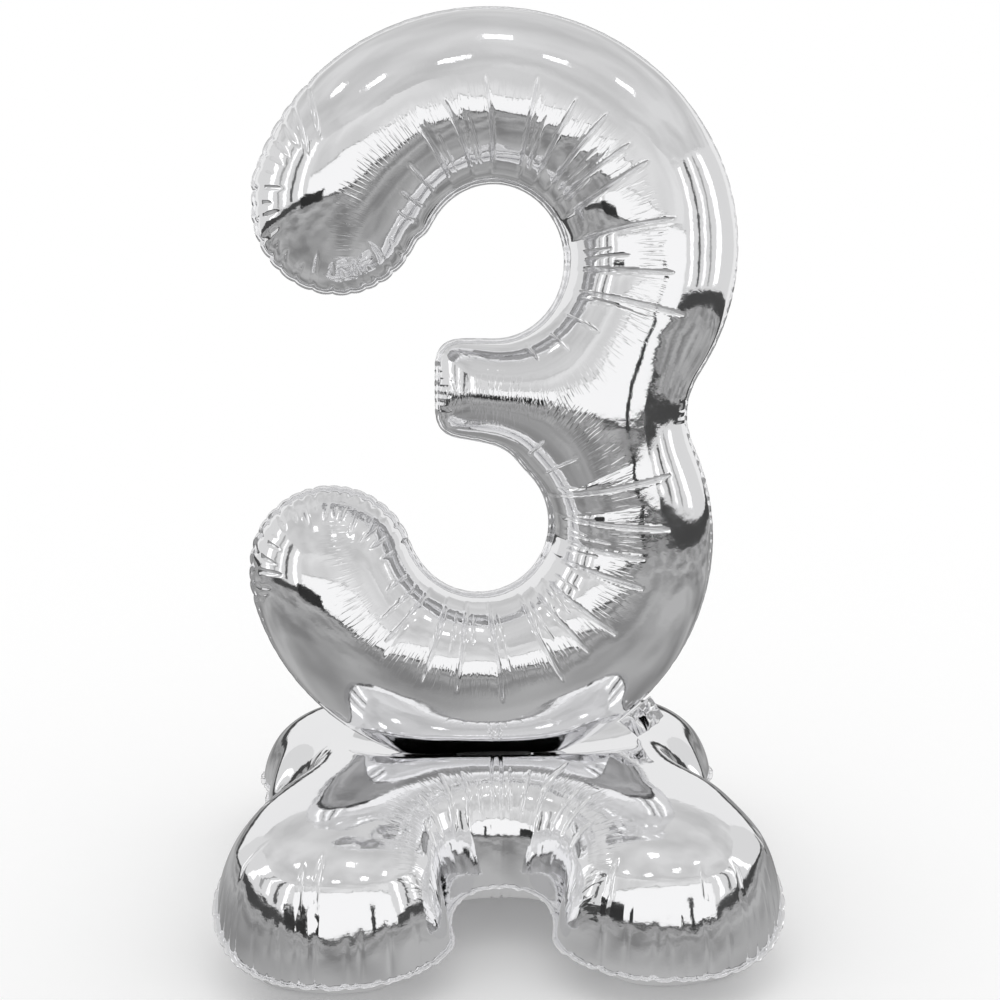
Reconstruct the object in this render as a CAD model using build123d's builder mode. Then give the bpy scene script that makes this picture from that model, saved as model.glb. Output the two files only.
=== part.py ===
"""A foil number balloon: a mirror-foil figure 3 that stands, welded at its foot, on a four-lobed foil pillow.

Millimetres, +Z up. The reader of the 3 looks along +Y. The origin is on the floor under the middle of the base.
Both balloons are two foil panels welded face to face round a flat outline and blown up, so the 3 has its seam
in the plane y = 0 and the base has its seam in the level plane z = base_seam_z.
"""

import os
from math import atan2, cos, degrees, hypot, radians, sin, sqrt, tan

from build123d import *

os.makedirs("parts", exist_ok=True)

# ---- Driving sizes ------------------------------------------------------------------------------------------
foil = 1.0  # wall of a panel
rim_width = 6.0  # welded margin outside a seam
rim_thick = 1.0  # the two foils of the margin together

# The figure 3: two round bowls of inflated tube and a thinner arm between them
upper_x = 0.0  # middle of the upper bowl
upper_radius = 215.0  # its centre line
upper_tube = 118.0  # radius of its tube
upper_end_angle = 162.0  # where its free end stands, counted from +X towards +Z
lower_x = -13.0
lower_radius = 219.0
lower_tube = 121.0
lower_end_angle = -171.0
bowl_rise = 398.0  # from the lower bowl's middle up to the upper bowl's
arm_rise = 220.0  # from the lower bowl's middle up to the middle arm
arm_tube = 74.0
arm_reach = 83.0  # how far the arm's end stands left of the middle plane
arm_end_round = 30.0

# The base: four lobes, two crossed arms and a thinner bar along each side
base_height = 202.0
base_seam_drop = 3.0  # the seam lies this much under half the height
lobe_offset = 204.0  # middle of a lobe, along X and along Y
lobe_radius = 168.0
lobe_crown = 6.0  # the full pillow stands this much over half the height there, before it is flattened
cross_half_width = 139.0
cross_crown = 8.0
side_half_width = 81.0
side_crown = -1.0

# The weld that carries the 3 on the base
pad_length, pad_width, pad_thick = 112.0, 40.0, 0.8
weld_gap = 0.6  # from the pad to the keel of the 3
weld_sink = 10.4  # how much the weld flattens off the lower bowl's round tube
keel_slope = 7.0  # degrees that the underside rises each way from the weld line, so that the 3 can rock

# Self-sealing valves: a tail outside each seam, and two films inside it
tail_thick = 0.8
tail_gap = 0.8  # from a welded margin to the tail that hinges on it
number_tail_width, number_tail_length = 62.0, 42.0
base_tail_width, base_tail_length = 44.0, 55.0
number_valve_angle = -50.0  # place of the valve on the lower bowl
film_width, film_length, film_thick = 46.0, 120.0, 0.6
film_gap = 0.3  # from a film to the seam plane and to the panels

# ---- Worked out ---------------------------------------------------------------------------------------------
keel_z = base_height + pad_thick + weld_gap
lower_z = keel_z + lower_radius + lower_tube - weld_sink
upper_z = lower_z + bowl_rise
arm_z = lower_z + arm_rise
base_seam_z = base_height / 2 - base_seam_drop
lobe_rise = base_height / 2 + lobe_crown
cross_rise = base_height / 2 + cross_crown
side_rise = base_height / 2 + side_crown
base_edge_x = lobe_offset + side_half_width  # the seam along each side of the base
valve_seam_radius = lower_radius + lower_tube
# The two centre lines cross here, right of the line between the bowls' middles
bowl_pitch = hypot(lower_x - upper_x, lower_z - upper_z)
pitch_x, pitch_z = (lower_x - upper_x) / bowl_pitch, (lower_z - upper_z) / bowl_pitch
along_pitch = (bowl_pitch**2 + upper_radius**2 - lower_radius**2) / (2 * bowl_pitch)
across_pitch = sqrt(upper_radius**2 - along_pitch**2)
meet_x = upper_x + along_pitch * pitch_x - across_pitch * pitch_z
meet_z = upper_z + along_pitch * pitch_z + across_pitch * pitch_x
upper_meet_angle = degrees(atan2(meet_z - upper_z, meet_x - upper_x))
lower_meet_angle = degrees(atan2(meet_z - lower_z, meet_x - lower_x))


def on_circle(x, z, radius, angle):
    """The point at an angle round (x, z), in the plane y = 0."""
    return x + radius * cos(radians(angle)), z + radius * sin(radians(angle))


def section_plane(x, z, angle):
    """A plane through (x, 0, z) that holds the Y direction, and whose own x points at the angle."""
    outward = (cos(radians(angle)), 0, sin(radians(angle)))
    return Plane(origin=(x, 0, z), x_dir=outward, z_dir=(-outward[2], 0, outward[0]))


# ---- The inflated 3 -----------------------------------------------------------------------------------------
upper_end = on_circle(upper_x, upper_z, upper_radius, upper_end_angle)
lower_end = on_circle(lower_x, lower_z, lower_radius, lower_end_angle)


def bent_tube(x, z, radius, tube, start_angle, end_angle):
    """A tube bent round (x, z), from start_angle down to end_angle."""
    with BuildPart() as bend:
        with BuildSketch(section_plane(*on_circle(x, z, radius, start_angle), start_angle)):
            Circle(tube)
        revolve(axis=Axis((x, 0, z), (0, 1, 0)), revolution_arc=start_angle - end_angle)
    return bend.part


def ball_slice(x, z, tube, start_angle, sweep):
    """A slice of a ball at (x, z), from start_angle down through the sweep."""
    with BuildPart() as ball:
        with BuildSketch(section_plane(x, z, start_angle)):
            Circle(tube)
            with Locations((-tube, 0)):
                Rectangle(2 * tube, 2 * tube, mode=Mode.SUBTRACT)
        revolve(axis=Axis((x, 0, z), (0, 1, 0)), revolution_arc=sweep)
    return ball.part


def middle_arm(inset):
    """The straight arm between the bowls, with its rounded left end."""
    with BuildPart() as arm:
        with BuildSketch(Plane.YZ.offset(inset - arm_reach)):
            with Locations((0, arm_z)):
                Circle(arm_tube - inset)
        extrude(amount=arm_reach - inset + meet_x)
        fillet(arm.faces().sort_by(Axis.X)[0].edges(), arm_end_round - inset)
    return arm.part


def keel_cutter(bottom_z):
    """Everything under the two gentle slopes that rise from the weld line at bottom_z."""
    half = 2 * upper_tube
    side_z = bottom_z + half * tan(radians(keel_slope))
    with BuildPart() as cutter:
        with BuildSketch(Plane.YZ):
            Polygon((0, bottom_z), (half, side_z), (half, 0), (-half, 0), (-half, side_z), align=None)
        extrude(amount=valve_seam_radius, both=True)
    return cutter.part


def number_form(inset):
    """The whole inflated 3, drawn in by inset from its outer skin."""
    upper, lower = upper_tube - inset, lower_tube - inset
    with BuildPart() as form:
        add(bent_tube(upper_x, upper_z, upper_radius, upper, upper_end_angle, upper_meet_angle))
        add(bent_tube(lower_x, lower_z, lower_radius, lower, lower_meet_angle, lower_end_angle))
        add(ball_slice(*upper_end, upper, upper_end_angle + 180, 180))
        add(ball_slice(*lower_end, lower, lower_end_angle, 180))
        add(ball_slice(meet_x, meet_z, upper, lower_meet_angle + 180, lower_meet_angle - upper_meet_angle))
        add(middle_arm(inset))
        add(keel_cutter(keel_z + inset), mode=Mode.SUBTRACT)
    return form.part


number_skin, number_air = number_form(0), number_form(foil)

with BuildPart() as number_front_panel:
    add(number_skin)
    add(number_air, mode=Mode.SUBTRACT)
    split(bisect_by=Plane.XZ, keep=Keep.TOP)

with BuildPart() as number_back_panel:
    add(number_skin)
    add(number_air, mode=Mode.SUBTRACT)
    split(bisect_by=Plane.XZ, keep=Keep.BOTTOM)


def number_outline(margin):
    """The flat outline of the 3 in the plane y = 0, grown by a margin all round."""
    with BuildPart() as slab:
        for x, z, radius, tube, start, end in (
            (upper_x, upper_z, upper_radius, upper_tube, upper_end_angle, upper_meet_angle),
            (lower_x, lower_z, lower_radius, lower_tube, lower_meet_angle, lower_end_angle),
        ):
            with BuildSketch(section_plane(*on_circle(x, z, radius, start), start)):
                Rectangle(2 * (tube + margin), rim_thick)
            revolve(axis=Axis((x, 0, z), (0, 1, 0)), revolution_arc=start - end)
        with BuildSketch(Plane.XZ):
            for (x, z), tube in ((upper_end, upper_tube), (lower_end, lower_tube), ((meet_x, meet_z), upper_tube)):
                with Locations((x, z)):
                    Circle(tube + margin)
            with Locations(((meet_x - arm_reach - margin) / 2, arm_z)):
                RectangleRounded(meet_x + arm_reach + margin, 2 * (arm_tube + margin), arm_end_round + margin)
        extrude(amount=rim_thick / 2, both=True)
    return slab.part


with BuildPart() as number_seam_rim:
    add(number_outline(rim_width))
    add(number_outline(0), mode=Mode.SUBTRACT)
    add(keel_cutter(keel_z), mode=Mode.SUBTRACT)

# ---- The base pillow ----------------------------------------------------------------------------------------
lobe_places = [(sx * lobe_offset, sy * lobe_offset) for sx in (-1, 1) for sy in (-1, 1)]


def base_form(inset):
    """The whole inflated base, drawn in by inset from its outer skin."""
    with BuildPart() as form:
        for x, y in lobe_places:
            with BuildSketch(Plane(origin=(x, y, base_seam_z), x_dir=(1, 0, 0), z_dir=(0, -1, 0))):
                Ellipse(lobe_radius - inset, lobe_rise - inset)
                with Locations((-lobe_radius, 0)):
                    Rectangle(2 * lobe_radius, 2 * lobe_rise, mode=Mode.SUBTRACT)
            revolve(axis=Axis((x, y, 0), (0, 0, 1)))
        for side in (-1, 1):
            with BuildSketch(Plane(origin=(0, 0, base_seam_z), x_dir=(1, -side, 0), z_dir=(side, 1, 0))):
                Ellipse(cross_half_width - inset, cross_rise - inset)
            extrude(amount=lobe_offset * sqrt(2), both=True)
            with BuildSketch(Plane(origin=(side * lobe_offset, 0, base_seam_z), x_dir=(1, 0, 0), z_dir=(0, -1, 0))):
                Ellipse(side_half_width - inset, side_rise - inset)
            extrude(amount=lobe_offset, both=True)
        split(bisect_by=Plane.XY.offset(base_height - inset), keep=Keep.BOTTOM)
        split(bisect_by=Plane.XY.offset(inset), keep=Keep.TOP)
    return form.part


base_skin, base_air = base_form(0), base_form(foil)

with BuildPart() as base_top_panel:
    add(base_skin)
    add(base_air, mode=Mode.SUBTRACT)
    split(bisect_by=Plane.XY.offset(base_seam_z), keep=Keep.TOP)

with BuildPart() as base_bottom_panel:
    add(base_skin)
    add(base_air, mode=Mode.SUBTRACT)
    split(bisect_by=Plane.XY.offset(base_seam_z), keep=Keep.BOTTOM)


def base_outline(margin):
    """The flat outline of the base at its seam, grown by a margin all round."""
    with BuildPart() as slab:
        with BuildSketch(Plane.XY.offset(base_seam_z)):
            with Locations(lobe_places):
                Circle(lobe_radius + margin)
            for side in (-1, 1):
                Rectangle(2 * lobe_offset * sqrt(2), 2 * (cross_half_width + margin), rotation=45 * side)
                with Locations((side * lobe_offset, 0)):
                    Rectangle(2 * (side_half_width + margin), 2 * lobe_offset)
        extrude(amount=rim_thick / 2, both=True)
    return slab.part


with BuildPart() as base_seam_rim:
    add(base_outline(rim_width))
    add(base_outline(0), mode=Mode.SUBTRACT)

with BuildPart() as weld_pad:
    with BuildSketch(Plane.XY.offset(base_height)):
        SlotOverall(pad_length, pad_width)
    extrude(amount=pad_thick)

# ---- Valves -------------------------------------------------------------------------------------------------
# Each valve plane lies in its seam plane, with its own x pointing out of the balloon
valve_out = (cos(radians(number_valve_angle)), 0, sin(radians(number_valve_angle)))
number_valve_plane = Plane(origin=(lower_x, 0, lower_z), x_dir=valve_out, z_dir=(0, -1, 0))
base_valve_plane = Plane(origin=(0, 0, base_seam_z), x_dir=(1, 0, 0), z_dir=(0, 0, 1))


def flat_strip(plane, near, far, width, low, high):
    """A flat strip from near to far along the plane's x, between two heights over the plane."""
    with BuildPart() as strip:
        with BuildSketch(plane.offset(low)):
            with Locations(((near + far) / 2, 0)):
                Rectangle(far - near, width)
        extrude(amount=high - low)
    return strip.part


def valve_tail(plane, seam, width, length):
    """The tail outside a seam, which hinges at the welded margin."""
    root = seam + rim_width + tail_gap
    return flat_strip(plane, root, root + length, width, -tail_thick / 2, tail_thick / 2)


def valve_film(plane, seam, side):
    """One of the two films inside a seam; side is 1 in front of or above the seam plane, else -1."""
    low, high = sorted((side * film_gap, side * (film_gap + film_thick)))
    return flat_strip(plane, seam - film_length, seam, film_width, low, high)


# A film's square end keeps its corners clear of the round seam
number_film_end = sqrt((valve_seam_radius - foil - film_gap) ** 2 - (film_width / 2) ** 2)
base_film_end = base_edge_x - foil - film_gap

with BuildPart() as number_valve_tail:
    add(valve_tail(number_valve_plane, valve_seam_radius, number_tail_width, number_tail_length))

with BuildPart() as number_valve_film_front:
    add(valve_film(number_valve_plane, number_film_end, 1))

with BuildPart() as number_valve_film_back:
    add(valve_film(number_valve_plane, number_film_end, -1))

with BuildPart() as base_valve_tail:
    add(valve_tail(base_valve_plane, base_edge_x, base_tail_width, base_tail_length))

with BuildPart() as base_valve_film_upper:
    add(valve_film(base_valve_plane, base_film_end, 1))

with BuildPart() as base_valve_film_lower:
    add(valve_film(base_valve_plane, base_film_end, -1))

# ---- Write the pieces ---------------------------------------------------------------------------------------
pieces = {
    "number_front_panel": number_front_panel,
    "number_back_panel": number_back_panel,
    "number_seam_rim": number_seam_rim,
    "number_valve_tail": number_valve_tail,
    "number_valve_film_front": number_valve_film_front,
    "number_valve_film_back": number_valve_film_back,
    "weld_pad": weld_pad,
    "base_top_panel": base_top_panel,
    "base_bottom_panel": base_bottom_panel,
    "base_seam_rim": base_seam_rim,
    "base_valve_tail": base_valve_tail,
    "base_valve_film_upper": base_valve_film_upper,
    "base_valve_film_lower": base_valve_film_lower,
}
for label, piece in pieces.items():
    piece.part.label = label
    export_step(piece.part, f"parts/{label}.step")

tail_root = valve_seam_radius + rim_width + tail_gap
hinge_x, hinge_z = lower_x + tail_root * valve_out[0], lower_z + tail_root * valve_out[2]
print(f"rock hinge: x 0, y 0, z {keel_z:.2f}")
print(f"number valve hinge: x {hinge_x:.2f}, y 0, z {hinge_z:.2f}, along {-valve_out[2]:.5f}, 0, {valve_out[0]:.5f}")
print(f"base valve hinge: x {base_edge_x + rim_width + tail_gap:.2f}, y 0, z {base_seam_z:.2f}, along Y")
print(f"meeting point of the bowls: x {meet_x:.1f}, z {meet_z:.1f}")
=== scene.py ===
"""The foil number balloon's looks: a mirror-foil 3 on a four-lobed foil pillow, in a plain pale studio.

Shapes are worked out in millimetres and written to Blender in metres. Each balloon is two foil sheets welded
round a flat outline. Blown up, a sheet stands as high over the outline as sqrt(2 u), where u solves
-laplace(u) = 1 inside the outline: a straight tube comes out round, and lobes and junctions swell. Foil doesn't
stretch, so where the outline curves inwards the spare length stands in tucks with full cells between them, and
round the convex ends the seam puckers.
"""

import math

import bpy
import numpy as np
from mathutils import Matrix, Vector, geometry


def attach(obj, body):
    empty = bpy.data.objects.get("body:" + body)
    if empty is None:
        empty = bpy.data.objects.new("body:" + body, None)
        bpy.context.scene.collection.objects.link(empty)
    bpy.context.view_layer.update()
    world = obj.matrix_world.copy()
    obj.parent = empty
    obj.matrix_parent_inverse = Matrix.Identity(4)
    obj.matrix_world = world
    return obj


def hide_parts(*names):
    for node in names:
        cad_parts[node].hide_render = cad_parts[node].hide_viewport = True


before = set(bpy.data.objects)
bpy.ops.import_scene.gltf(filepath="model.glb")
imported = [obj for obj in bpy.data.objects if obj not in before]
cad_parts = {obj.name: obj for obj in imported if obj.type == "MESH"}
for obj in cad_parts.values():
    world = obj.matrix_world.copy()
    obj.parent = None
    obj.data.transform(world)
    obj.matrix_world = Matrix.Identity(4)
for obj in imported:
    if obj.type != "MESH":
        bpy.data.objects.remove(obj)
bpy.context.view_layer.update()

MM = 0.001
GRID = 2.5  # spacing of the mesh inside a sheet
rng = np.random.default_rng(3)


# ---- Flat outlines --------------------------------------------------------------------------------------------
def arc(centre, radii, start, end):
    """Points on an elliptic arc, about 2 mm apart; angles in degrees from the first axis towards the second."""
    ru, rv = radii if isinstance(radii, tuple) else (radii, radii)
    count = max(3, int(abs(end - start) * math.pi / 180 * max(ru, rv) / 2))
    t = np.radians(np.linspace(start, end, count))
    return np.c_[centre[0] + ru * np.cos(t), centre[1] + rv * np.sin(t)]


def fillet(one, two, radius, guess):
    """Where the middle of a circle lies that touches both lines, and the angles to the touching points."""
    c = np.array(guess, float)
    for _ in range(80):
        near = [line[int(np.argmin(np.linalg.norm(line - c, axis=1)))] for line in (one, two)]
        gaps = [radius - np.linalg.norm(q - c) for q in near]
        for q, gap in zip(near, gaps):
            c += 0.6 * gap * (c - q) / np.linalg.norm(c - q)
    return c, [angle(c, q) % 360 for q in near]


def meet(c1, r1, c2, r2, side):
    """Where two circles cross: the crossing to the left (side 1) or right (-1) of the line from c1 to c2."""
    c1, c2 = np.array(c1, float), np.array(c2, float)
    d = np.linalg.norm(c2 - c1)
    along = (d * d + r1 * r1 - r2 * r2) / (2 * d)
    off = math.sqrt(max(r1 * r1 - along * along, 0.0))
    e = (c2 - c1) / d
    return c1 + along * e + side * off * np.array([-e[1], e[0]])


def angle(centre, point):
    return math.degrees(math.atan2(point[1] - centre[1], point[0] - centre[0]))


def resample(points, step):
    """A closed line again, with its points step apart."""
    loop = np.vstack([points, points[:1]])
    run = np.r_[0, np.cumsum(np.linalg.norm(np.diff(loop, axis=0), axis=1))]
    count = int(round(run[-1] / step))
    s = np.arange(count) * run[-1] / count
    return np.c_[np.interp(s, run, loop[:, 0]), np.interp(s, run, loop[:, 1])]


def smooth(points, sigma):
    """A closed line of 1 mm steps, rounded by a Gaussian sigma mm wide."""
    freq = np.fft.fftfreq(len(points))
    keep = np.exp(-2 * (math.pi * freq * sigma) ** 2)
    return np.c_[
        np.fft.ifft(np.fft.fft(points[:, 0]) * keep).real, np.fft.ifft(np.fft.fft(points[:, 1]) * keep).real
    ]


def inward(points):
    """Unit normals that point into a closed line, whichever way it runs."""
    t = np.roll(points, -1, axis=0) - np.roll(points, 1, axis=0)
    t /= np.linalg.norm(t, axis=1)[:, None]
    n = np.c_[-t[:, 1], t[:, 0]]
    x, y = points[:, 0], points[:, 1]
    area = np.sum(x * np.roll(y, -1) - y * np.roll(x, -1))
    return n if area > 0 else -n


UPPER, UPPER_R = (-1.0, 938.0), (346.0, 326.0)
LOWER, LOWER_R = (-18.0, 518.0), (336.0, 331.0)
UPPER_EYE, UPPER_EYE_R = (1.0, 922.0), (106.0, 114.0)
LOWER_EYE, LOWER_EYE_R = (-21.5, 547.5), (108.0, 108.0)
UPPER_END, LOWER_END, END_R = (-220.0, 994.0), (-235.0, 485.0), 114.0
WAIST_R = 112.0
KEEL = 206.0


def number_outline():
    upper, lower = arc(UPPER, UPPER_R, 166, -60), arc(LOWER, LOWER_R, 60, -172)
    waist, (a0, a1) = fillet(upper, lower, WAIST_R, (390.0, 712.0))
    runs = [
        upper[np.cumsum(np.linalg.norm(upper - waist, axis=1) < WAIST_R + 0.6) == 0],
        arc(waist, WAIST_R, a0, a1),
        lower[np.cumsum(np.linalg.norm(lower - waist, axis=1)[::-1] < WAIST_R + 0.6)[::-1] == 0],
        arc(LOWER_END, END_R, 187, 9),
        arc(LOWER_EYE, LOWER_EYE_R, -155, 50),
        np.array([(30.0, 653.0), (8.0, 666.0), (-22.0, 673.0)]),
        arc((-51.0, 706.0), 28.0, 262, 185),
        arc((-51.0, 781.0), 28.0, 176, 98),
        arc(UPPER_EYE, UPPER_EYE_R, -97, 160),
        arc(UPPER_END, END_R, -17, -197),
    ]
    line = resample(np.vstack(runs), 1.0)
    line[:, 1] = np.maximum(line[:, 1], KEEL)
    return resample(smooth(line, 9.0), 1.0)


LOBE, LOBE_R = (206.0, 216.0), 166.0
NOTCH, NOTCH_R = 268.0, 72.0  # front and back
SIDE, SIDE_R = (190.0, 110.0), 160.0  # the full body between two lobes of one side
FLANK, FLANK_R = 355.0, 70.0  # left and right
BASE_SEAM = 98.0  # height of the base's seam over the floor
BASE_TOP = 148.0  # most that the base's top stands over its seam
PRESS = 201.9  # height of the base's top right under the 3
MARGIN_WIDTH, MARGIN_LIFT = 6.0, 0.45  # the welded margin's width, and half its thickness
SEAM_FADE = 14.0  # wrinkles grow to full size over this much height above the seam


def base_outline():
    lobe, notch, flank = LOBE, (0.0, NOTCH), (FLANK, 0.0)
    a = meet(SIDE, SIDE_R, flank, FLANK_R, 1)
    b = meet(SIDE, SIDE_R, lobe, LOBE_R, -1)
    c = meet(lobe, LOBE_R, notch, NOTCH_R, -1)
    q = np.vstack([
        arc(flank, FLANK_R, 180, angle(flank, a)),
        arc(SIDE, SIDE_R, angle(SIDE, a), angle(SIDE, b)),
        arc(lobe, LOBE_R, angle(lobe, b), angle(lobe, c)),
        arc(notch, NOTCH_R, angle(notch, c), -90),
    ])
    flip = q[::-1] * (-1, 1)
    line = np.vstack([q, flip, -q, -flip])
    return resample(smooth(resample(line, 1.0), 11.0), 1.0)


# ---- Tucks and puckers ----------------------------------------------------------------------------------------
class Tuck:
    """A groove in a sheet from a seam end to a free end, in the sheet's own plane."""

    def __init__(self, start, end, depth, width=3.2, bend=0.0, late=0.0, inset=0.0):
        if inset:
            start = np.array(start, float) + np.array(np.subtract(end, start)) * inset / math.dist(start, end)
        self.a, self.b = np.array(start, float), np.array(end, float)
        self.length = float(np.linalg.norm(self.b - self.a))
        self.e = (self.b - self.a) / self.length
        self.n = np.array([-self.e[1], self.e[0]])
        self.depth, self.width, self.bend, self.late, self.inset = depth, width, bend, late, inset

    def place(self, p):
        d = p - self.a
        u = d @ self.e / self.length
        t = d @ self.n - self.bend * np.sin(math.pi * np.clip(u, 0, 1))
        return u, t

    def line(self, u, t):
        return self.a + np.outer(u * self.length, self.e) + np.outer(t + self.bend * np.sin(math.pi * u), self.n)

    def sink(self, p):
        u, t = self.place(p)
        near = (np.abs(t) < 6 * self.width) & (u > -0.15) & (u < 1.12)
        out = np.zeros(len(p))
        u, t = u[near], t[near]
        rise = np.clip((u + 0.12) / (0.3 + self.late), 0, 1)
        fall = np.clip((1.04 - u) / (0.14 if self.inset else 0.42), 0, 1)
        along = (rise * rise * (3 - 2 * rise)) * (fall * fall * (3 - 2 * fall))
        groove = -np.exp(-((np.abs(t) / self.width) ** 1.3))
        lips = 0.10 * np.exp(-(((np.abs(t) - 2.4 * self.width) / (1.1 * self.width)) ** 2))
        out[near] = self.depth * along * (groove + lips)
        return out


def polar(centre, degrees_, radius):
    t = math.radians(degrees_)
    return (centre[0] + radius * math.cos(t), centre[1] + radius * math.sin(t))


# Angle at the eye's seam, angle and radius at the free end, for the long tucks round each bowl
UPPER_TUCKS = [
    (119, 121, 192), (104, 109, 209), (92, 94, 226), (74, 77, 231), (63, 63, 225), (53, 52, 227),
    (43, 40, 225), (31, 32, 231), (13, 12, 232), (-7, -5, 233), (-22, -17, 255),
]
LOWER_TUCKS = [
    (25, 17, 266), (10, 1, 252), (-7, -9, 221), (-21, -19, 228), (-38, -37, 229), (-49, -48, 213),
    (-60, -61, 230), (-84, -83, 231), (-100, -99, 217), (-114, -112, 215), (-129, -132, 190),
]
UPPER_SHORT = [(132, 134, 160), (144, 146, 146), (154, 155, 138), (-38, -36, 160), (-54, -52, 150), (-70, -68, 140)]
LOWER_SHORT = [(-138, -140, 158), (-146, -148, 146), (42, 38, 160), (58, 55, 146)]
# Angles of the puckers round the two free ends, about the middle of each end
UPPER_END_PUCKERS = [100, 112, 121, 132, 143, 153, 166, 178, 190, 203, 215, 226, 239, 252, 266, 279, 290, 300, 312, 326]
LOWER_END_PUCKERS = [200, 189, 178, 166, 154, 143, 132, 121, 112, 103, 92, 83, 74, 64, 55, 45, 33, 20]


def to_seam(line, centre, degrees_):
    """The point of an outline that is seen from centre at that angle."""
    d = line - np.array(centre)
    e = np.array([math.cos(math.radians(degrees_)), math.sin(math.radians(degrees_))])
    off = np.abs(d[:, 0] * e[1] - d[:, 1] * e[0]) + np.where(d @ e < 0, 1e4, 0)
    off += np.where(np.linalg.norm(d, axis=1) > 170, 1e4, 0)
    return line[int(np.argmin(off))]


def number_tucks(line):
    tucks = []
    for centre, rows in ((UPPER_EYE, UPPER_TUCKS), (LOWER_EYE, LOWER_TUCKS)):
        for a0, a1, r1 in rows:
            start = to_seam(line, centre, a0)
            end = polar(centre, a1, r1 + 5 + rng.uniform(-4, 4))
            tucks.append(Tuck(start, end, rng.uniform(2.8, 3.5), rng.uniform(1.2, 1.45), rng.uniform(-2, 2), 0, 13))
            side = rng.uniform(4.5, 8.5) * rng.choice((-1, 1))
            start = to_seam(line, centre, a0 + side)
            end = polar(centre, a1 + side, 112 + rng.uniform(40, 90))
            tucks.append(Tuck(start, end, rng.uniform(0.7, 1.2), 1.2, rng.uniform(-1, 1), 0, 16))
    for centre, rows in ((UPPER_EYE, UPPER_SHORT), (LOWER_EYE, LOWER_SHORT)):
        for a0, a1, r1 in rows:
            start = to_seam(line, centre, a0)
            tucks.append(Tuck(start, polar(centre, a1, r1 + 8), rng.uniform(1.3, 1.9), 1.3, rng.uniform(-2, 2), 0, 12))
    for centre, rows in ((UPPER_END, UPPER_END_PUCKERS), (LOWER_END, LOWER_END_PUCKERS)):
        for a0 in rows:
            start = to_seam(line, centre, a0)
            reach = 114 - rng.uniform(20, 54)
            end = polar(centre, a0 + rng.uniform(-4, 4), reach)
            tucks.append(Tuck(start, end, rng.uniform(1.6, 3.0), rng.uniform(1.6, 2.2), rng.uniform(-2, 2), -0.15))
    for z in (694.0, 706.0, 716.0, 728.0):
        tucks.append(Tuck((281.0, z), (281.0 - rng.uniform(22, 40), z + rng.uniform(-4, 4)), 1.0, 1.6))
    for k in range(12):
        z = 684.0 + k * 10.2
        tucks.append(Tuck((-78.0, z), (-78.0 + rng.uniform(10, 24), z + rng.uniform(-3, 3)), 1.0, 1.6, 0, -0.15))
    return tucks


def base_tucks(line):
    tucks = []
    front = [
        ((2, -197), (5, -62), 5.0), ((-9, -197), (-4, -80), 3.4), ((-38, -206), (-50, -140), 4.2),
        ((-57, -221), (-79, -146), 4.8), ((-68, -242), (-108, -196), 4.8), ((-72, -264), (-98, -236), 3.4),
        ((-73, -280), (-92, -268), 2.4), ((-22, -199), (-26, -150), 3.0), ((24, -200), (44, -138), 3.4),
        ((40, -208), (98, -120), 5.0), ((58, -224), (106, -192), 4.6), ((68, -243), (120, -212), 4.4),
        ((73, -266), (118, -256), 3.2), ((13, -198), (18, -128), 3.0),
    ]
    for a, b, depth in front:
        tucks.append(Tuck(a, b, depth * 0.72, rng.uniform(1.3, 1.6), rng.uniform(-3, 3), 0, 12))
        tucks.append(Tuck((-a[0], -a[1]), (-b[0], -b[1]), depth * 0.5, 1.4, rng.uniform(-3, 3), 0, 12))
    for sx in (-1, 1):
        for sy in (-1, 1):
            a0 = -52.0
            while a0 < 128.0:
                t = math.radians(a0)
                e = np.array([sx * math.cos(t), sy * math.sin(t)])
                mid = np.array([sx * LOBE[0], sy * LOBE[1]])
                reach = rng.uniform(34, 66) if rng.random() < 0.4 else rng.uniform(10, 18)
                lean = np.array([-e[1], e[0]]) * rng.uniform(-7, 7)
                start = mid + e * LOBE_R
                d = np.linalg.norm(line - start, axis=1)
                if d.min() < 9:
                    start = line[int(np.argmin(d))]
                    depth = 0.7 + reach * 0.022
                    tucks.append(Tuck(start, start - e * reach + lean, depth, rng.uniform(1.5, 2.1), 0, -0.15))
                a0 += rng.uniform(6.0, 15.0)
    for sx in (-1, 1):
        for y in (-56, -38, -21, -4, 14, 33, 52):
            x = FLANK - math.sqrt(FLANK_R**2 - y * y)
            end = (sx * (x - rng.uniform(20, 48)), y * 0.8)
            tucks.append(Tuck((sx * x, y), end, rng.uniform(1.2, 2.0), 1.7, 0, -0.1))
    return tucks


def scallops(line, tucks, depth):
    """The outline drawn in a little at each tuck, so that the seam bulges between them."""
    n = inward(line)
    pull = np.zeros(len(line))
    for tuck in tucks:
        if tuck.inset:
            continue
        d = np.linalg.norm(line - tuck.a, axis=1)
        pull = np.maximum(pull, np.exp(-((d / 4.5) ** 1.3)) * min(tuck.depth / 2.0, 1.5))
    return line + n * (pull * depth)[:, None]


# ---- A sheet's mesh in its own plane ---------------------------------------------------------------------------
def inside(points, line):
    """Even-odd test of many points against a closed line."""
    x, y = points[:, 0], points[:, 1]
    out = np.zeros(len(points), bool)
    a, b = line, np.roll(line, -1, axis=0)
    order = np.argsort(y)
    ys = y[order]
    for (ax, ay), (bx, by) in zip(a, b):
        if ay == by:
            continue
        lo, hi = (ay, by) if ay < by else (by, ay)
        i0, i1 = np.searchsorted(ys, (lo, hi))
        pick = order[i0:i1]
        out[pick] ^= x[pick] < ax + (y[pick] - ay) * (bx - ax) / (by - ay)
    return out


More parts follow.
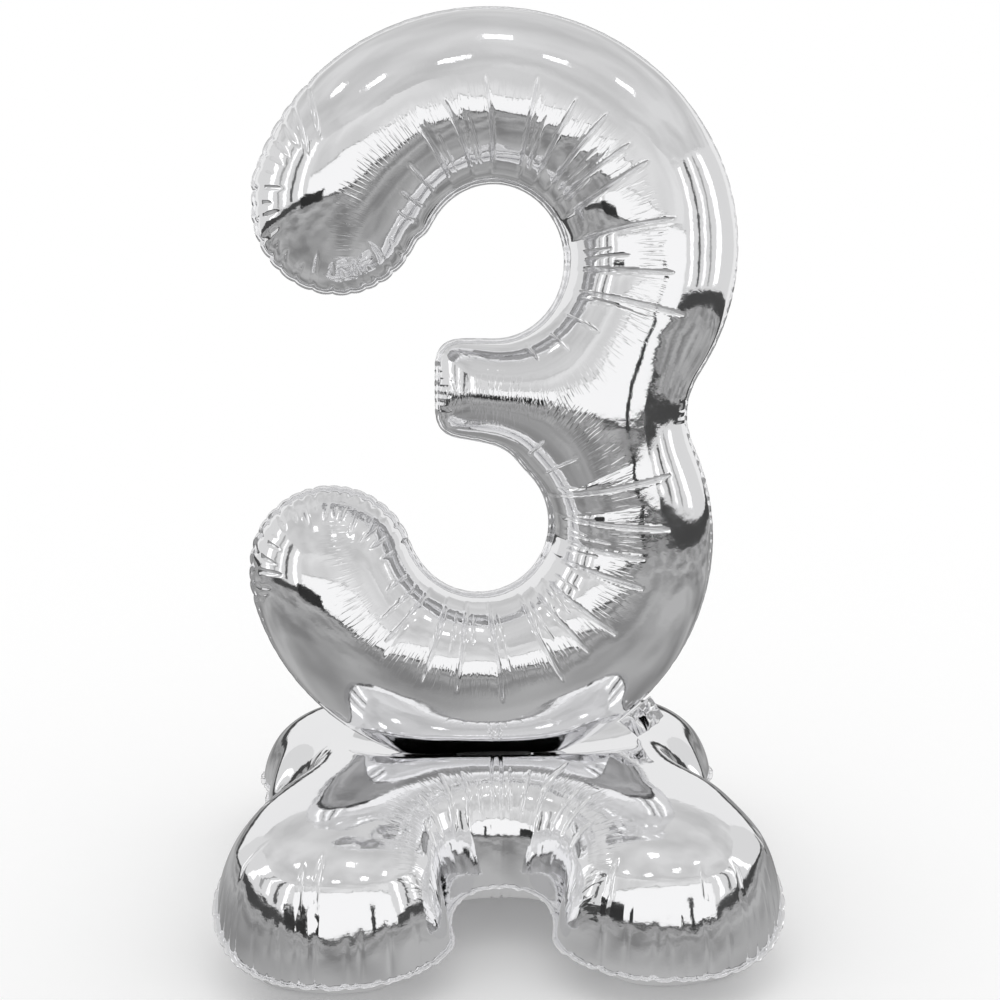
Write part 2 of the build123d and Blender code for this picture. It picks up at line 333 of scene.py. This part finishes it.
def nearest(points, line):
    out = np.empty(len(points))
    for i in range(0, len(points), 4000):
        block = points[i : i + 4000]
        d2 = (block[:, None, 0] - line[None, :, 0]) ** 2 + (block[:, None, 1] - line[None, :, 1]) ** 2
        out[i : i + 4000] = np.sqrt(d2.min(axis=1))
    return out


RINGS = (0.0, 0.15, 0.6, 1.4, 2.6, 4.2, 6.2, 8.6, 11.4, 14.6)


def plan_mesh(line, tucks):
    """Points and triangles that fill an outline, with rows along the seam and along every tuck."""
    edge = resample(line, GRID)
    normal = inward(edge)
    ring = [edge + normal * d for d in RINGS]
    count = len(edge)
    low, high = line.min(axis=0), line.max(axis=0)
    xs = np.arange(low[0], high[0], GRID)
    ys = np.arange(low[1], high[1], GRID * 0.866)
    gx, gy = np.meshgrid(xs, ys)
    gx[1::2] += GRID / 2
    grid = np.c_[gx.ravel(), gy.ravel()]
    grid = grid[inside(grid, line)]
    coarse = line[::3]
    grid = grid[nearest(grid, coarse) > RINGS[-1] + GRID * 0.75]
    rows = []
    for tuck in sorted(tucks, key=lambda k: -k.depth):
        w = tuck.width
        offs = np.array([-2.4, -1.3, -0.6, 0.0, 0.6, 1.3, 2.4]) * w
        u = np.arange(0, tuck.length, GRID * 0.95) / tuck.length
        part = np.vstack([tuck.line(u, np.full(len(u), t)) for t in offs])
        for other in rows:
            if len(other) and np.linalg.norm(other.mean(axis=0) - part.mean(axis=0)) < 160:
                part = part[nearest(part, other) > GRID * 0.6] if len(part) else part
        u_grid, t_grid = tuck.place(grid)
        grid = grid[(np.abs(t_grid) > w * 2.4 + GRID * 0.55) | (u_grid < -0.02) | (u_grid > 1.02)]
        rows.append(part)
    if rows:
        part = np.vstack(rows)
        part = part[inside(part, line)]
        part = part[nearest(part, coarse) > RINGS[-1] + GRID * 0.55]
        grid = np.vstack([grid, part])
    points = np.vstack(ring + [grid])
    edges = [(i, (i + 1) % count) for i in range(count)]
    verts = [Vector((float(x), float(y))) for x, y in points]
    out = geometry.delaunay_2d_cdt(verts, edges, [], 1, 1e-5, False)
    flat = np.array([(v.x, v.y) for v in out[0]])
    tris = np.array([f for f in out[2] if len(f) == 3])
    tris = tris[inside(flat[tris].mean(axis=1), edge)]
    on_seam = nearest(flat, edge) < 0.04
    return flat, tris, on_seam


def inflate(flat, tris, fixed):
    """u at each point, where -laplace(u) = 1 and u = 0 on the seam: linear elements, conjugate gradients."""
    a, b, c = (flat[tris[:, k]] for k in range(3))
    area2 = np.abs((b[:, 0] - a[:, 0]) * (c[:, 1] - a[:, 1]) - (b[:, 1] - a[:, 1]) * (c[:, 0] - a[:, 0]))
    area2 = np.maximum(area2, 1e-6)
    rows, cols, vals = [], [], []
    corners = (a, b, c)
    for k in range(3):
        i, j, o = tris[:, k], tris[:, (k + 1) % 3], corners[(k + 2) % 3]
        p, q = corners[k] - o, corners[(k + 1) % 3] - o
        w = 0.5 * np.sum(p * q, axis=1) / area2
        rows += [i, j]
        cols += [j, i]
        vals += [-w, -w]
    rows, cols, vals = np.concatenate(rows), np.concatenate(cols), np.concatenate(vals)
    n = len(flat)
    diag = -np.bincount(rows, vals, n)
    load = np.bincount(tris.ravel(), np.repeat(area2 / 6, 3), n)
    free = ~fixed
    load = load * free
    keep = free[rows] & free[cols]
    rows, cols, vals = rows[keep], cols[keep], vals[keep]
    diag = np.where(free & (diag > 1e-9), diag, 1.0)
    u = np.zeros(n)
    r = load.copy()
    z = r / diag
    p = z.copy()
    rz = r @ z
    stop = 1e-10 * rz
    for _ in range(4000):
        q = diag * p + np.bincount(rows, vals * p[cols], n)
        step = rz / (p @ q)
        u += step * p
        r -= step * q
        z = r / diag
        new = r @ z
        if new < stop:
            break
        p = z + (new / rz) * p
        rz = new
    return np.maximum(u, 0)


def vertex_normals(pos, tris):
    n = np.cross(pos[tris[:, 1]] - pos[tris[:, 0]], pos[tris[:, 2]] - pos[tris[:, 0]])
    out = np.zeros_like(pos)
    for k in range(3):
        for axis in range(3):
            out[:, axis] += np.bincount(tris[:, k], n[:, axis], len(pos))
    return out / np.maximum(np.linalg.norm(out, axis=1), 1e-12)[:, None]


def mesh_object(name, pos, faces, body, material):
    mesh = bpy.data.meshes.new(name)
    mesh.from_pydata([tuple(map(float, p)) for p in pos * MM], [], [tuple(map(int, f)) for f in faces])
    mesh.validate()
    mesh.update()
    mesh.polygons.foreach_set("use_smooth", [True] * len(mesh.polygons))
    mesh.materials.append(material)
    obj = bpy.data.objects.new(name, mesh)
    bpy.context.scene.collection.objects.link(obj)
    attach(obj, body)
    return obj


def wave(p, seed, lengths, amount):
    """A gentle unevenness: a few sine waves in random directions."""
    local = np.random.default_rng(seed)
    out = np.zeros(len(p))
    for length in lengths:
        for _ in range(3):
            k = local.normal(size=p.shape[1])
            k *= 2 * math.pi / (length * np.linalg.norm(k))
            out += np.sin(p @ k + local.uniform(0, 7))
    return out * amount / (1.7 * len(lengths))


def cells(flat, centre, angles, r_seam, r_end, amount):
    """Full cells between the tucks round an eye."""
    d = flat - np.array(centre)
    r = np.hypot(d[:, 0], d[:, 1])
    a = np.degrees(np.arctan2(d[:, 1], d[:, 0]))
    angles = sorted(angles)
    out = np.zeros(len(flat))
    up = np.clip((r - r_seam) / 30, 0, 1)
    down = np.clip((r_end - r) / 75, 0, 1)
    radial = np.sqrt(up) * down * down * (3 - 2 * down)
    for a0, a1 in zip(angles[:-1], angles[1:]):
        pick = (a > a0) & (a < a1)
        v = (a[pick] - a0) / (a1 - a0)
        out[pick] = amount * math.sqrt((a1 - a0) / 15) * np.sin(math.pi * v) ** 0.4
    return out * radial


# ---- Materials ------------------------------------------------------------------------------------------------
def new_material(name):
    mat = bpy.data.materials.new(name)
    mat.use_nodes = True
    tree = mat.node_tree
    tree.nodes.clear()
    out = tree.nodes.new("ShaderNodeOutputMaterial")
    shader = tree.nodes.new("ShaderNodeBsdfPrincipled")
    tree.links.new(shader.outputs[0], out.inputs[0])
    return mat, tree, shader


def noise(tree, coords, scale, detail=3.0, rough=0.5):
    node = tree.nodes.new("ShaderNodeTexNoise")
    node.inputs["Scale"].default_value = scale
    node.inputs["Detail"].default_value = detail
    node.inputs["Roughness"].default_value = rough
    tree.links.new(coords, node.inputs["Vector"])
    return node.outputs["Fac"]


def ranged(tree, value, low, high, start=0.3, end=0.7):
    node = tree.nodes.new("ShaderNodeMapRange")
    node.inputs["From Min"].default_value = start
    node.inputs["From Max"].default_value = end
    node.inputs["To Min"].default_value = low
    node.inputs["To Max"].default_value = high
    tree.links.new(value, node.inputs["Value"])
    return node.outputs["Result"]


def bump(tree, height, strength, distance, after=None):
    node = tree.nodes.new("ShaderNodeBump")
    node.inputs["Strength"].default_value = strength
    node.inputs["Distance"].default_value = distance
    tree.links.new(height, node.inputs["Height"])
    if after is not None:
        tree.links.new(after, node.inputs["Normal"])
    return node.outputs["Normal"]


def maths(tree, operation, one, two):
    """A Math node on two values, each a socket or a number."""
    node = tree.nodes.new("ShaderNodeMath")
    node.operation = operation
    for k, value in enumerate((one, two)):
        if isinstance(value, float):
            node.inputs[k].default_value = value
        else:
            tree.links.new(value, node.inputs[k])
    return node.outputs[0]


def comb(tree, coords, centre, axes, ring, pitch):
    """Fine radial wrinkles round a point, fading out away from a ring; height 0 to 1."""
    split = tree.nodes.new("ShaderNodeSeparateXYZ")
    tree.links.new(coords, split.inputs[0])
    parts = [maths(tree, "SUBTRACT", split.outputs[axis], mid) for axis, mid in zip(axes, centre)]
    turn = maths(tree, "ARCTAN2", parts[1], parts[0])
    radius = tree.nodes.new("ShaderNodeCombineXYZ")
    tree.links.new(parts[0], radius.inputs[0])
    tree.links.new(parts[1], radius.inputs[1])
    length = tree.nodes.new("ShaderNodeVectorMath")
    length.operation = "LENGTH"
    tree.links.new(radius.outputs[0], length.inputs[0])
    place = tree.nodes.new("ShaderNodeCombineXYZ")
    tree.links.new(turn, place.inputs[0])
    tree.links.new(length.outputs["Value"], place.inputs[1])
    stretch = tree.nodes.new("ShaderNodeVectorMath")
    stretch.operation = "MULTIPLY"
    tree.links.new(place.outputs[0], stretch.inputs[0])
    stretch.inputs[1].default_value = (ring[1] / pitch, 26.0, 0.0)
    lines = ranged(tree, noise(tree, stretch.outputs[0], 1.0, 1.0), 0.0, 1.0, 0.5, 0.66)
    inner = ranged(tree, length.outputs["Value"], 0.0, 1.0, ring[0], ring[1])
    outer = ranged(tree, length.outputs["Value"], 1.0, 0.0, ring[1], ring[2])
    return maths(tree, "MULTIPLY", maths(tree, "MULTIPLY", lines, inner), outer)


def foil_material(name, rough_low, rough_high, crinkle, combs=()):
    """Mirror film: bright metal with a faint orange peel and patches of haze."""
    mat, tree, shader = new_material(name)
    coords = tree.nodes.new("ShaderNodeTexCoord").outputs["Object"]
    shader.inputs["Metallic"].default_value = 1.0
    shader.inputs["Base Color"].default_value = (0.93, 0.93, 0.94, 1.0)
    haze = noise(tree, coords, 26.0, 4.0, 0.6)
    tree.links.new(ranged(tree, haze, rough_low, rough_high), shader.inputs["Roughness"])
    soft = bump(tree, noise(tree, coords, 18.0, 2.0), 0.35, 0.0022 * crinkle)
    fine = bump(tree, noise(tree, coords, 120.0, 3.0, 0.55), 0.25, 0.00035 * crinkle, soft)
    for centre, axes, ring, pitch in combs:
        fine = bump(tree, comb(tree, coords, centre, axes, ring, pitch), 0.5, 0.00045, fine)
    tree.links.new(fine, shader.inputs["Normal"])
    return mat


def film_material():
    mat, tree, shader = new_material("valve_film")
    coords = tree.nodes.new("ShaderNodeTexCoord").outputs["Object"]
    shader.inputs["Base Color"].default_value = (0.86, 0.87, 0.88, 1.0)
    shader.inputs["Alpha"].default_value = 0.55
    tree.links.new(ranged(tree, noise(tree, coords, 60.0), 0.12, 0.3), shader.inputs["Roughness"])
    tree.links.new(bump(tree, noise(tree, coords, 90.0, 4.0), 0.3, 0.0006), shader.inputs["Normal"])
    return mat


def glue_material():
    mat, tree, shader = new_material("weld_glue")
    coords = tree.nodes.new("ShaderNodeTexCoord").outputs["Object"]
    ramp = tree.nodes.new("ShaderNodeMix")
    ramp.data_type = "RGBA"
    ramp.inputs["A"].default_value = (0.62, 0.62, 0.62, 1.0)
    ramp.inputs["B"].default_value = (0.72, 0.72, 0.72, 1.0)
    tree.links.new(noise(tree, coords, 160.0), ramp.inputs["Factor"])
    tree.links.new(ramp.outputs["Result"], shader.inputs["Base Color"])
    tree.links.new(ranged(tree, noise(tree, coords, 80.0), 0.35, 0.6), shader.inputs["Roughness"])
    tree.links.new(bump(tree, noise(tree, coords, 240.0), 0.4, 0.0004), shader.inputs["Normal"])
    return mat


XZ, XY = ("X", "Z"), ("X", "Y")
NUMBER_FOIL = foil_material("number_foil", 0.035, 0.085, 1.0, (
    ((0.001, 0.922), XZ, (0.178, 0.205, 0.232), 0.0034),
    ((-0.0215, 0.5475), XZ, (0.172, 0.200, 0.228), 0.0034),
))
BASE_FOIL = foil_material("base_foil", 0.035, 0.085, 1.0, (
    ((0.0, -0.268), XY, (0.100, 0.125, 0.160), 0.0036),
    ((0.0, 0.268), XY, (0.100, 0.125, 0.160), 0.0036),
))
MARGIN = foil_material("welded_margin", 0.10, 0.20, 1.8)
TAIL = foil_material("tail_foil", 0.06, 0.14, 2.2)


# ---- The pieces -----------------------------------------------------------------------------------------------
def add_margin(name, line, width, lift, level, body, node, sway):
    """The welded margin: two foils together, standing out from the seam and slightly wavy."""
    edge = resample(line, GRID * 1.1)
    out_n = -inward(edge)
    count = len(edge)
    s = np.arange(count) * GRID * 1.1
    local = np.random.default_rng(11)
    drift = np.zeros(count)
    for length in (34.0, 23.0, 14.0):
        turns = max(1, round(s[-1] / length))
        drift += np.sin(2 * math.pi * turns * s / s[-1] + local.uniform(0, 7))
    drift *= sway / 2
    rows = []
    for across, side in ((-1.0, 1), (width * 0.5, 1), (width, 1), (width, -1), (width * 0.5, -1), (-1.0, -1)):
        flat = edge + out_n * across
        height = side * lift + drift * max(across, 0) / width
        rows.append(level(flat, height))
    pos = np.vstack(rows)
    faces = []
    for k in range(6):
        a, b = k * count, ((k + 1) % 6) * count
        for i in range(count):
            j = (i + 1) % count
            faces.append((a + i, a + j, b + j, b + i))
    obj = mesh_object(name, pos, faces, body, MARGIN)
    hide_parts(node)


def number_level(flat, height):
    return np.c_[flat[:, 0], height, flat[:, 1]]


def base_level(flat, height):
    return np.c_[flat[:, 0], flat[:, 1], BASE_SEAM + base_droop(flat) + height]


def base_droop(flat):
    """How far the seam hangs below its level at the sides: most at the tips of the lobes, less in the notches."""
    x, y = np.abs(flat[:, 0]), np.abs(flat[:, 1])
    tip = np.clip((y - 150) / 235, 0, 1)
    front = np.where(flat[:, 1] < 0, 1.0, 0.35)
    notch = np.exp(-((x / 110) ** 2)) * np.clip((y - 110) / 80, 0, 1)
    return -54.0 * front * tip * tip * (3 - 2 * tip) - 13.0 * notch * (1 - tip)


def cap_height(h, limit, power):
    """Heights that level off at limit, smoothly."""
    h = np.maximum(h, 1e-9)
    return (h**-power + limit**-power) ** (-1 / power)


def build_number():
    line = number_outline()
    tucks = number_tucks(line)
    line = scallops(line, tucks, 2.2)
    flat, tris, fixed = plan_mesh(line, tucks)
    h = np.sqrt(2 * inflate(flat, tris, fixed))
    h = cap_height(h, 150.0, 8.0)
    swell = cells(flat, UPPER_EYE, [r[0] for r in UPPER_TUCKS], 108, 242, 2.8)
    swell += cells(flat, LOWER_EYE, [r[0] for r in LOWER_TUCKS], 108, 240, 2.8)
    for name, node, side, seed in (("number_front", "number_front_panel", -1, 5),
                                   ("number_back", "number_back_panel", 1, 6)):
        pos = np.c_[flat[:, 0], side * h, flat[:, 1]]
        order = tris if side < 0 else tris[:, ::-1]
        n = vertex_normals(pos, order)
        if np.sum(n[:, 1] * side) < 0:
            order, n = order[:, ::-1], -n
        local = np.random.default_rng(seed)
        d = swell.copy()
        for tuck in tucks:
            d += tuck.sink(flat) * local.uniform(0.8, 1.1)
        d += wave(pos, seed, (330.0, 190.0, 110.0), 0.9)
        d *= np.clip(h / SEAM_FADE, 0, 1)
        obj = mesh_object(name, pos + n * d[:, None], order, "number", NUMBER_FOIL)
        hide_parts(node)
    add_margin("number_margin", line, MARGIN_WIDTH, MARGIN_LIFT, number_level, "number", "number_seam_rim", 0.8)


def build_base():
    line = base_outline()
    tucks = base_tucks(line)
    line = scallops(line, tucks, 3.0)
    flat, tris, fixed = plan_mesh(line, tucks)
    h = np.sqrt(2 * inflate(flat, tris, fixed))
    droop = base_droop(flat)
    for name, node, side, seed in (("base_top", "base_top_panel", 1, 8),
                                   ("base_bottom", "base_bottom_panel", -1, 9)):
        if side > 0:
            tall = cap_height(h, BASE_TOP, 3.4)
            tall *= 1 - 0.5 * np.exp(-tall / 42)
        else:
            x, y = np.abs(flat[:, 0]), np.abs(flat[:, 1])
            slack = np.exp(-((x / 120) ** 4)) + 0.45 * np.clip((y - 300) / 60, 0, 1)
            tall = h * h / (130 + 330 * slack)
        fill = np.clip(tall / 60, 0, 1)
        level = BASE_SEAM + droop * (1 - fill if side > 0 else 1)
        pos = np.c_[flat[:, 0], flat[:, 1], level + side * tall]
        if side < 0:
            pos[:, 2] = 5.0 * np.logaddexp(pos[:, 2] / 5.0, 0.04)
        n = vertex_normals(pos, tris)
        order = tris
        if np.sum(n[:, 2] * side) < 0:
            order, n = tris[:, ::-1], -n
        local = np.random.default_rng(seed)
        d = wave(pos, seed, (260.0, 150.0, 90.0), 0.9)
        for tuck in tucks:
            d += tuck.sink(flat) * local.uniform(0.8, 1.1)
        d *= np.clip(h / SEAM_FADE, 0, 1)
        pos = pos + n * d[:, None]
        if side > 0:
            # pressed down under the 3, which stays clear of it when it rocks
            across = np.abs(flat[:, 1])
            room = np.maximum(across**2 / 236 - 0.045 * across, 0) * 0.9
            room += np.maximum(np.abs(flat[:, 0]) - 110, 0) ** 2 / 700
            press = PRESS + room
            pos[:, 2] = -1.5 * np.logaddexp(-pos[:, 2] / 1.5, -press / 1.5)
        else:
            pos[:, 2] = np.maximum(pos[:, 2], 0.2)
        obj = mesh_object(name, pos, order, "base", BASE_FOIL)
        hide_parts(node)
    add_margin("base_margin", line, MARGIN_WIDTH, MARGIN_LIFT, base_level, "base", "base_seam_rim", 1.4)


def add_tail(name, node, body, hinge, along, out, up, width, length, crumple, seed):
    """A crumpled strip of foil beyond the seam, where the balloon was filled."""
    hinge, along, out, up = (np.array(v, float) for v in (hinge, along, out, up))
    nu, nv = int(width / 1.6), int(length / 1.6)
    u, v = np.meshgrid(np.linspace(-0.5, 0.5, nu + 1), np.linspace(0, 1, nv + 1), indexing="ij")
    u, v = u.ravel(), v.ravel()
    flat = np.c_[u * width, v * length]
    local = np.random.default_rng(seed)
    sites = local.uniform((-width / 2, -4), (width / 2, length + 4), (11, 2))
    slopes = local.uniform(-0.55, 0.55, (11, 2))
    d = np.linalg.norm(flat[:, None, :] - sites[None], axis=2)
    planes = np.einsum("ijk,jk->ij", flat[:, None, :] - sites[None], slopes) + local.uniform(-2, 2, 11)
    weight = np.exp(-((d / 9.0) ** 2)) + 1e-9
    facet = np.sum(planes * weight**3, axis=1) / np.sum(weight**3, axis=1)
    height = crumple * facet * np.clip(v * 3, 0, 1) + 0.6 * np.sin(flat[:, 0] * 0.9 + flat[:, 1] * 0.4) * v
    gather = 1 - 0.16 * v
    mid = hinge + np.outer(flat[:, 0] * gather, along) + np.outer(flat[:, 1], out) + np.outer(height, up)
    top, low = mid + up * 0.35, mid - up * 0.35
    count = len(mid)

    def at(i, j):
        return i * (nv + 1) + j

    faces = []
    for i in range(nu):
        for j in range(nv):
            faces.append((at(i, j), at(i + 1, j), at(i + 1, j + 1), at(i, j + 1)))
            faces.append((count + at(i, j), count + at(i, j + 1), count + at(i + 1, j + 1), count + at(i + 1, j)))
    rim = [at(i, 0) for i in range(nu)] + [at(nu, j) for j in range(nv)]
    rim += [at(i, nv) for i in range(nu, 0, -1)] + [at(0, j) for j in range(nv, 0, -1)]
    for a, b in zip(rim, rim[1:] + rim[:1]):
        faces.append((a, count + a, count + b, b))
    obj = mesh_object(name, np.vstack([top, low]), faces, body, TAIL)
    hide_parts(node)


def build_tails():
    add_tail("number_tail_foil", "number_valve_tail", "number_tail", (211.7, 0, 265.2), (0.766, 0, 0.643),
             (0.643, 0, -0.766), (0, -1, 0), 60.0, 39.0, 1.5, 21)
    add_tail("base_tail_foil", "base_valve_tail", "base_tail", (292.6, 0, 98.0), (0, 1, 0), (1, 0, 0), (0, 0, 1),
             43.0, 54.0, 0.7, 22)


def finish_cad_nodes():
    film, glue = film_material(), glue_material()
    paint = {"weld_pad": glue}
    for node in ("base_valve_film_upper", "base_valve_film_lower", "number_valve_film_front",
                 "number_valve_film_back"):
        paint[node] = film
    for node, mat in paint.items():
        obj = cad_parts[node]
        obj.data.materials.clear()
        obj.data.materials.append(mat)


# ---- Studio -----------------------------------------------------------------------------------------------------
def flat_light_material(name, strength, patches=None):
    """A glow, even or (patches: low, high, scale) in soft patches between two brightnesses."""
    mat = bpy.data.materials.new(name)
    mat.use_nodes = True
    tree = mat.node_tree
    tree.nodes.clear()
    out = tree.nodes.new("ShaderNodeOutputMaterial")
    glow = tree.nodes.new("ShaderNodeEmission")
    glow.inputs["Strength"].default_value = 1.0
    glow.inputs["Color"].default_value = (strength, strength, strength, 1.0)
    tree.links.new(glow.outputs[0], out.inputs[0])
    if patches is not None:
        coords = tree.nodes.new("ShaderNodeTexCoord").outputs["Object"]
        tone = ranged(tree, noise(tree, coords, patches[2], 2.0), patches[0], patches[1], 0.35, 0.65)
        mix = tree.nodes.new("ShaderNodeCombineColor")
        for k in range(3):
            tree.links.new(tone, mix.inputs[k])
        tree.links.new(mix.outputs[0], glow.inputs["Color"])
    return mat


def rectangle(name, width, depth, material):
    w, h = width / 2, depth / 2
    mesh = bpy.data.meshes.new(name)
    mesh.from_pydata([(-w, -h, 0), (w, -h, 0), (w, h, 0), (-w, h, 0)], [], [(0, 1, 2, 3)])
    mesh.materials.append(material)
    obj = bpy.data.objects.new(name, mesh)
    bpy.context.scene.collection.objects.link(obj)
    return obj


def card(name, centre, size, turn, strength, patches=None):
    """A card out of shot, seen only in the foil. size is (width, height) in metres and turn is in degrees."""
    obj = rectangle(name, size[0], size[1], flat_light_material(name, strength, patches))
    obj.location = centre
    obj.rotation_euler = [math.radians(t) for t in turn]
    obj.visible_camera = False
    obj.visible_diffuse = False
    obj.visible_shadow = False
    obj.visible_transmission = False


# Middle along Y, width and brightness of the upright panes on both side walls
PANES = ((-3.4, 0.5, 1.3), (-2.3, 0.3, 0.10), (-1.5, 0.3, 1.2), (-0.8, 0.22, 0.35), (0.3, 0.7, 1.3))


def build_studio():
    scene = bpy.context.scene
    world = bpy.data.worlds.new("studio")
    world.use_nodes = True
    back = world.node_tree.nodes["Background"]
    back.inputs["Color"].default_value = (1.0, 1.0, 1.0, 1.0)
    back.inputs["Strength"].default_value = 1.0
    scene.world = world
    mat, tree, shader = new_material("floor")
    shader.inputs["Base Color"].default_value = (1.0, 1.0, 1.0, 1.0)
    shader.inputs["Roughness"].default_value = 0.9
    shader.inputs["Specular IOR Level"].default_value = 0.0
    floor = rectangle("floor", 60.0, 60.0, mat)
    floor.location.z = -0.0008
    # what the foil reflects: floor, ceiling, walls and the dark bands between them
    card("ground_card", (0, 0, 0.0006), (9.0, 9.0), (0, 0, 0), 0.34, (0.22, 0.46, 1.2))
    card("ceiling", (0, 0, 3.6), (9.0, 9.0), (0, 0, 0), 0.62, (0.55, 0.72, 0.5))
    card("front_low", (0, -4.5, 0.075), (9.0, 0.15), (90, 0, 0), 0.07)
    card("front_wall", (0, -4.5, 0.925), (9.0, 1.55), (90, 0, 0), 0.98)
    card("front_rail", (0, -4.5, 1.72), (9.0, 0.04), (90, 0, 0), 0.06)
    card("front_high", (0, -4.5, 2.67), (9.0, 1.86), (90, 0, 0), 0.70, (0.62, 0.80, 0.4))
    card("dark_chest", (-2.9, -3.3, 0.36), (1.7, 0.62), (90, 0, -40), 0.03)
    card("dark_stand", (1.9, -4.2, 0.45), (0.35, 0.9), (90, 0, 0), 0.04)
    card("back_low", (0, 4.5, 0.2), (9.0, 0.4), (90, 0, 0), 0.06)
    card("back_wall", (0, 4.5, 2.0), (9.0, 3.2), (90, 0, 0), 0.85)
    for side in (-1, 1):
        x = 4.5 * side
        card(f"side_low_{side + 1}", (x, 0, 0.2), (0.4, 9.0), (0, 90, 0), 0.06)
        card(f"side_wall_{side + 1}", (x, 0, 2.0), (3.2, 9.0), (0, 90, 0), 0.72)
        for k, (y, width, tone) in enumerate(PANES):
            card(f"side_pane_{side + 1}_{k}", (x * 0.99, y, 2.0), (2.9, width), (0, 90, 0), tone)
    for x, y in ((-1.6, -1.8), (-0.4, -2.3), (0.9, -1.9), (1.9, -1.2), (-2.2, -0.4), (0.1, -0.7)):
        card(f"lamp_{int(x * 10 + 50)}", (x, y, 3.55), (0.36, 0.36), (0, 0, 0), 1.7)


def build_camera():
    data = bpy.data.cameras.new("camera")
    data.sensor_width = 36.0
    data.lens = 43.9
    cam = bpy.data.objects.new("camera", data)
    cam.location = (-0.0746, -1.759, 0.8084)
    cam.rotation_euler = (math.radians(90 - 7.35), 0.0, math.radians(-2.74))
    bpy.context.scene.collection.objects.link(cam)
    bpy.context.scene.camera = cam


build_number()
build_base()
build_tails()
finish_cad_nodes()
build_studio()
build_camera()
bpy.context.scene.view_settings.view_transform = "Standard"
